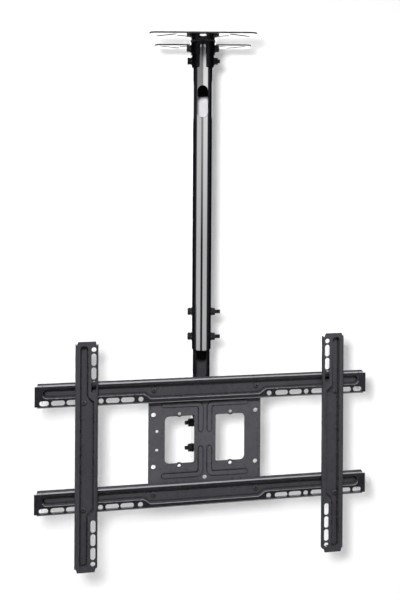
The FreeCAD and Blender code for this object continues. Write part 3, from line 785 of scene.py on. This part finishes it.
def makeCentrePlate(s):
    plate = copyOfNode("centre_plate")
    middle, front = s["middle"], s["front"]
    x, z, radius = s["sideHole"]
    start = front + s["cutAhead"]
    cutters = [roundBar(radius + cutSlack, s["cutDeep"], (x, start, middle + sz * z), (0, 1, 0), 48)
               for sz in (-1, 1)]
    x, z, radius = s["lowHole"]
    cutters.append(roundBar(radius + cutSlack, s["cutDeep"], (x, start, middle + z), (0, 1, 0), 48))
    cutAway(plate, cutters)
    roundFlats(plate, 0.8, (0, 1, 0))
    softenEdges(plate, s["edge"], 2)
    smoothSurface(plate)
    standIn(plate, "centrePlate", platePaint, "centre_plate")


makeCentrePlate(plateSettings)


# pressed rails: the two horizontal ones and the two uprights

railSettings = {
    "upper": -704.5, "lower": -904.5, "front": -62.0, "row": 9.5, "radius": 4.5, "edge": 0.6, "cutDeep": 4,
    "slots": ((150, 25), (178.25, 25), (223, 25), (251.25, 25), (279.5, 25), (305, 17)), "holes": (125, 200),
}
uprightSettings = {
    "middle": -795.0, "front": -72.2, "radius": 4.5, "edge": 0.6, "leftRow": -213.8, "rightRow": 239.3,
    "cutDeep": 4,
    "slots": ((130, 23), (181, 23)),
}


def finishRail(rail, s):
    roundFlats(rail, 0.9, (0, 1, 0))
    softenEdges(rail, s["edge"], 3)
    smoothSurface(rail)


def makeRail(node, name, z, s):
    rail = copyOfNode(node)
    width = 2 * (s["radius"] + cutSlack)
    start, row, deep = s["front"] - proud, z + s["row"], s["cutDeep"]
    cutters = [slotBar(length + 2 * cutSlack, width, deep, (sx * x, start, row), (0, 1, 0), (1, 0, 0))
               for sx in (-1, 1) for x, length in s["slots"]]
    cutters += [roundBar(width / 2, deep, (sx * x, start, row), (0, 1, 0), 48)
                for sx in (-1, 1) for x in s["holes"]]
    cutAway(rail, cutters)
    finishRail(rail, s)
    standIn(rail, name, railPaint, node)


def makeUpright(node, name, row, s):
    rail = copyOfNode(node)
    width = 2 * (s["radius"] + cutSlack)
    start, deep = s["front"] - proud, s["cutDeep"]
    cutters = [slotBar(length + 2 * cutSlack, width, deep, (row, start, s["middle"] + sz * z),
                       (0, 1, 0), (0, 0, 1))
               for sz in (-1, 1) for z, length in s["slots"]]
    cutAway(rail, cutters)
    finishRail(rail, s)
    standIn(rail, name, framePaint, node)


makeRail("upper_rail", "upperRail", railSettings["upper"], railSettings)
makeRail("lower_rail", "lowerRail", railSettings["lower"], railSettings)
makeUpright("left_upright", "leftUpright", uprightSettings["leftRow"], uprightSettings)
makeUpright("right_upright", "rightUpright", uprightSettings["rightRow"], uprightSettings)
print("rails pressed")


# round-head screws and their nuts

screwSettings = {
    "head": 5.2, "headHeight": 3.4, "dome": 2.2, "recess": 5.4, "recessWidth": 1.2, "recessDepth": 1.9,
    "shank": 3.0, "length": 14.0, "pitch": 1.0, "depth": 0.45, "threads": 9,
    "nutFlats": 10.0, "nutHeight": 5.0, "edge": 0.12, "smooth": 35,
    "across": 100, "up": 100, "plateSeats": (-54, -49),  # where heads and nuts sit, along Y
    "uprightSeats": (-64.2, -59.8), "leftColumn": -232.0, "rightColumn": 257.5,
}


def makeScrew(s):
    head = roundBar(s["head"], s["headHeight"], (0, 0, 0), (0, 0, 1), 40)
    selectParts(head, "FACE", lambda f: f.normal.z > 0.9)
    bpy.ops.mesh.bevel(offset=s["dome"] * mm, segments=5, profile=0.5, affect="EDGES")
    bpy.ops.object.mode_set(mode="OBJECT")
    bars = []
    for size in ((s["recess"], s["recessWidth"]), (s["recessWidth"], s["recess"])):
        bpy.ops.mesh.primitive_cube_add(size=1, location=(0, 0, s["headHeight"] * mm))
        bar = bpy.context.object
        bar.scale = (size[0] * mm, size[1] * mm, 2 * s["recessDepth"] * mm)
        bars.append(bakePlace(bar))
    for bar in bars:
        cutAway(head, [bar])
    softenEdges(head, s["edge"])
    smoothSurface(head, s["smooth"])
    plain = s["length"] - s["threads"] * s["pitch"] - s["depth"]
    shank = roundBar(s["shank"], plain, (0, 0, -plain), (0, 0, 1), 24)
    threadedEnd(shank, s["shank"], s["pitch"], s["depth"], s["threads"])
    smoothSurface(shank, boltSettings["threadAngle"])
    return joinPieces([head, shank])


panScrew = makeScrew(screwSettings)
smallNut = makeHexNut(screwSettings["nutFlats"], screwSettings["nutHeight"], screwSettings["shank"])


def fitScrews(places, seats, names, nodes):
    toFront, toBack = (0, -1, 0), (0, 1, 0)
    seat, nutSeat = seats
    screws = [copyPiece(panScrew, aimed((x, seat, z), toFront)) for x, z in places]
    nuts = [copyPiece(smallNut, aimed((x, nutSeat, z), toBack)) for x, z in places]
    standIn(joinPieces(screws), names[0], screwPaint, nodes[0])
    standIn(joinPieces(nuts), names[1], boltSteel, nodes[1])


across, up = screwSettings["across"], screwSettings["up"]
plateScrews = [(sx * across, plateSettings["middle"] + sz * up) for sx in (-1, 1) for sz in (-1, 1)]
fitScrews(plateScrews, screwSettings["plateSeats"], ("railScrews", "railNuts"), ("rail_screws", "rail_nuts"))
for side in ("left", "right"):
    column = screwSettings[side + "Column"]
    places = [(column, uprightSettings["middle"] + sz * up) for sz in (-1, 1)]
    fitScrews(places, screwSettings["uprightSeats"], (side + "Screws", side + "Nuts"),
              (side + "_screws", side + "_nuts"))
for spare in (panScrew, smallNut):
    bpy.data.objects.remove(spare, do_unlink=True)
print("screws turned in")


# studio: world, lamps, wall and floor; lengths in metres

studioSettings = {
    "skyLow": 0.09, "skyHigh": 0.74, "skyRise": (0.1, 0.55),  # soft light comes from above the camera
    "key": {"power": 29.0, "size": 0.095, "place": (-0.2832, -1.3815, -0.163), "aim": (0, 0, -0.6)},
    "top": {"power": 86.0, "size": 0.3, "place": (-0.38, -1.66, 1.0), "aim": (0, 0, -0.4)},
    "rear": {"power": 60.0, "size": 0.5, "place": (0.7, 1.7, 0.6), "aim": (0, 0, -0.5)},
    "wallBehind": 0.42, "wallSize": (6.0, 3.0), "floorLevel": -1.45, "floorSize": 3.0,
    "paper": (0.95, 0.95, 0.955, 1),
    "wallShine": ((-1.1, 0.02), (-1.07, 1.2), (-0.9, 1.2), (-0.87, 0.02),
                  (-0.14, 0.02), (-0.13, 1.9), (-0.042, 1.9), (-0.035, 0.02)), "floorShine": 0.1,
    "shineHalfWidth": 0.3, "shineFade": 0.05,
    "wallGlow": 0.06, "floorGlow": 0.42, "sideGlow": 0.6, "sideReach": (0.6, 1.6),
    # two soft boxes that only glossy rays meet; their edges are azimuths in degrees
    "boxStrength": 9.8, "darkRoom": 0.005, "backBox": 0.07,
    "leftEdge": (-76, -66), "rightEdge": (58, 70), "backEdge": (130, 150), "gapSoft": 5,
    # from the lowest up: the rise over which a level comes in, then its left box, gap and right box
    "boxLevels": (((-0.29, -0.275), (0.25, 0.006, 0.25)), ((-0.13, 0.03), (0.3, 0.13, 0.38)),
                  ((0.06, 0.09), (0.13, 0.14, 0.43, -2, 3)), ((0.13, 0.136), (0.055, 0.004, 0.06))),
    "boxTop": (0.147, 0.153),
}


def makeWorld(s):
    world = bpy.data.worlds.new("studioWorld")
    bpy.context.scene.world = world
    world.use_nodes = True
    tree = world.node_tree
    tree.nodes.clear()
    rays = addNode(tree, "ShaderNodeLightPath")
    direction = addNode(tree, "ShaderNodeTexCoord").outputs["Generated"]
    heading = math.radians(cameraSettings["heading"])

    def alongDirection(axis):
        node = addNode(tree, "ShaderNodeVectorMath", operation="DOT_PRODUCT")
        tree.links.new(direction, node.inputs[0])
        node.inputs[1].default_value = axis
        return node.outputs["Value"]

    towardsCamera = alongDirection((-math.sin(heading), -math.cos(heading), 0))
    towardsRight = alongDirection((math.cos(heading), -math.sin(heading), 0))
    angle = addMath(tree, "ARCTAN2", towardsRight, towardsCamera)
    turn = addMath(tree, "ADD", addMath(tree, "DIVIDE", angle, 2 * math.pi), 0.5)

    def stop(degrees, level):
        return (degrees / 360 + 0.5, (level,) * 3)

    def boxes(left, gap, right, gapFrom=-13, gapTo=8):  # the boxes and the gap between them, by azimuth
        dark, back = s["darkRoom"], s["backBox"]
        near, far = s["backEdge"]
        return addRamp(tree, turn, [
            stop(-far, back), stop(-near, dark),
            stop(s["leftEdge"][0], dark), stop(s["leftEdge"][1], left), stop(gapFrom - s["gapSoft"], left),
            stop(gapFrom, gap), stop(gapTo, gap), stop(gapTo + s["gapSoft"], right),
            stop(s["rightEdge"][0], right), stop(s["rightEdge"][1], dark),
            stop(near, dark), stop(far, back)])

    up = alongDirection((0, 0, 1))
    shown = (s["darkRoom"],) * 3
    for rise, level in s["boxLevels"]:
        shown = addMix(tree, band(tree, up, *rise), shown, boxes(*level))
    shown = addMix(tree, band(tree, up, *s["boxTop"]), shown, (s["darkRoom"],) * 3)
    softBoxes = addNode(tree, "ShaderNodeBackground", Strength=s["boxStrength"])
    tree.links.new(shown, softBoxes.inputs["Color"])
    ambient = addNode(tree, "ShaderNodeBackground", Color=(1, 1, 1, 1), Strength=s["skyHigh"])
    low = (s["skyLow"] / s["skyHigh"],) * 3
    sky = addRamp(tree, band(tree, up, *s["skyRise"]), [(0, low), (1, (1, 1, 1))])
    tree.links.new(sky, ambient.inputs["Color"])
    white = addNode(tree, "ShaderNodeBackground", Color=(1, 1, 1, 1), Strength=1.0)
    unseen = addNode(tree, "ShaderNodeMixShader")
    tree.links.new(rays.outputs["Is Glossy Ray"], unseen.inputs["Fac"])
    tree.links.new(ambient.outputs[0], unseen.inputs[1])
    tree.links.new(softBoxes.outputs[0], unseen.inputs[2])
    seen = addNode(tree, "ShaderNodeMixShader")
    tree.links.new(rays.outputs["Is Camera Ray"], seen.inputs["Fac"])
    tree.links.new(unseen.outputs[0], seen.inputs[1])
    tree.links.new(white.outputs[0], seen.inputs[2])
    output = addNode(tree, "ShaderNodeOutputWorld")
    tree.links.new(seen.outputs[0], output.inputs["Surface"])


def makeLamp(name, s):
    bpy.ops.object.light_add(type="AREA", location=s["place"])
    lamp = bpy.context.object
    lamp.name = name
    away = Vector(s["place"]) - Vector(s["aim"])
    lamp.rotation_euler = away.to_track_quat("Z", "Y").to_euler()
    lamp.data.shape = "DISK"
    lamp.data.size = s["size"]
    lamp.data.energy = s["power"]
    lamp.visible_glossy = False
    lamp.visible_camera = False
    deselectAll()
    return lamp


def lightGroup(name, objects, lamp):  # the lamp lights only these objects
    group = bpy.data.collections.new(name)
    for thing in objects:
        group.objects.link(thing)
    lamp.light_linking.receiver_collection = group


# shine is the level that glossy rays meet: a value, or (height, level) stops
def makePaper(name, shine, glow, s):
    material = bpy.data.materials.new(name)
    tree = nodeTree(material)
    rays = addNode(tree, "ShaderNodeLightPath")
    geometry = addNode(tree, "ShaderNodeNewGeometry")
    lit = addNode(tree, "ShaderNodeBsdfDiffuse", Color=s["paper"])
    lift = addNode(tree, "ShaderNodeEmission", Color=(1, 1, 1, 1))  # for the camera alone
    apart = addNode(tree, "ShaderNodeSeparateXYZ")
    tree.links.new(geometry.outputs["Position"], apart.inputs[0])
    beside = addMath(tree, "ABSOLUTE", apart.outputs["X"])
    sideGlow = addMath(tree, "MULTIPLY", band(tree, beside, *s["sideReach"]), s["sideGlow"])
    glowing = addMath(tree, "ADD", sideGlow, glow)
    tree.links.new(addMath(tree, "MULTIPLY", rays.outputs["Is Camera Ray"], glowing), lift.inputs["Strength"])
    paper = addNode(tree, "ShaderNodeAddShader")
    tree.links.new(lit.outputs[0], paper.inputs[0])
    tree.links.new(lift.outputs[0], paper.inputs[1])
    mirrored = addNode(tree, "ShaderNodeEmission", Color=(1, 1, 1, 1), Strength=1.0)
    if isinstance(shine, tuple):
        low, high = shine[0][0], shine[-1][0]
        height = band(tree, apart.outputs["Z"], low, high)
        top = max(level for _, level in shine)
        stops = [((z - low) / (high - low), (level / top,) * 3) for z, level in shine]
        tree.links.new(addRamp(tree, height, stops), mirrored.inputs["Color"])
        reach = band(tree, beside, s["shineHalfWidth"] + s["shineFade"], s["shineHalfWidth"])
        tree.links.new(addMath(tree, "MULTIPLY", reach, top), mirrored.inputs["Strength"])
    else:
        mirrored.inputs["Strength"].default_value = shine
    seen = addNode(tree, "ShaderNodeMixShader")
    tree.links.new(rays.outputs["Is Glossy Ray"], seen.inputs["Fac"])
    tree.links.new(paper.outputs[0], seen.inputs[1])
    tree.links.new(mirrored.outputs[0], seen.inputs[2])
    clear = addNode(tree, "ShaderNodeBsdfTransparent")
    sided = addNode(tree, "ShaderNodeMixShader")
    tree.links.new(geometry.outputs["Backfacing"], sided.inputs["Fac"])
    tree.links.new(seen.outputs[0], sided.inputs[1])
    tree.links.new(clear.outputs[0], sided.inputs[2])
    output = addNode(tree, "ShaderNodeOutputMaterial")
    tree.links.new(sided.outputs[0], output.inputs["Surface"])
    return material


def makeWallAndFloor(s):
    heading = math.radians(cameraSettings["heading"])
    place = Vector((math.sin(heading), math.cos(heading), 0)) * s["wallBehind"]
    middle = s["floorLevel"] + s["wallSize"][1] / 2
    bpy.ops.mesh.primitive_plane_add(size=1, location=(place.x, place.y, middle),
                                     rotation=(math.radians(90), 0, -heading))
    wall = bpy.context.object
    wall.name = "studioWall"
    wall.scale = (*s["wallSize"], 1)
    bakePlace(wall)
    wall.data.materials.append(makePaper("wallPaper", s["wallShine"], s["wallGlow"], s))
    wall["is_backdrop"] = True
    bpy.ops.mesh.primitive_plane_add(size=s["floorSize"], location=(0, 0, s["floorLevel"]))
    floor = bpy.context.object
    floor.name = "studioFloor"
    bakePlace(floor)
    floor.data.materials.append(makePaper("floorPaper", s["floorShine"], s["floorGlow"], s))
    floor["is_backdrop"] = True
    deselectAll()


makeWorld(studioSettings)
makeWallAndFloor(studioSettings)
lightGroup("wallLight", [bpy.data.objects["studioWall"]], makeLamp("keyLamp", studioSettings["key"]))
lightGroup("objectLight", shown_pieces(), makeLamp("topLamp", studioSettings["top"]))
lightGroup("rearLight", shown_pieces(), makeLamp("rearLamp", studioSettings["rear"]))
bpy.context.scene.view_settings.view_transform = "Standard"
print("studio is lit")
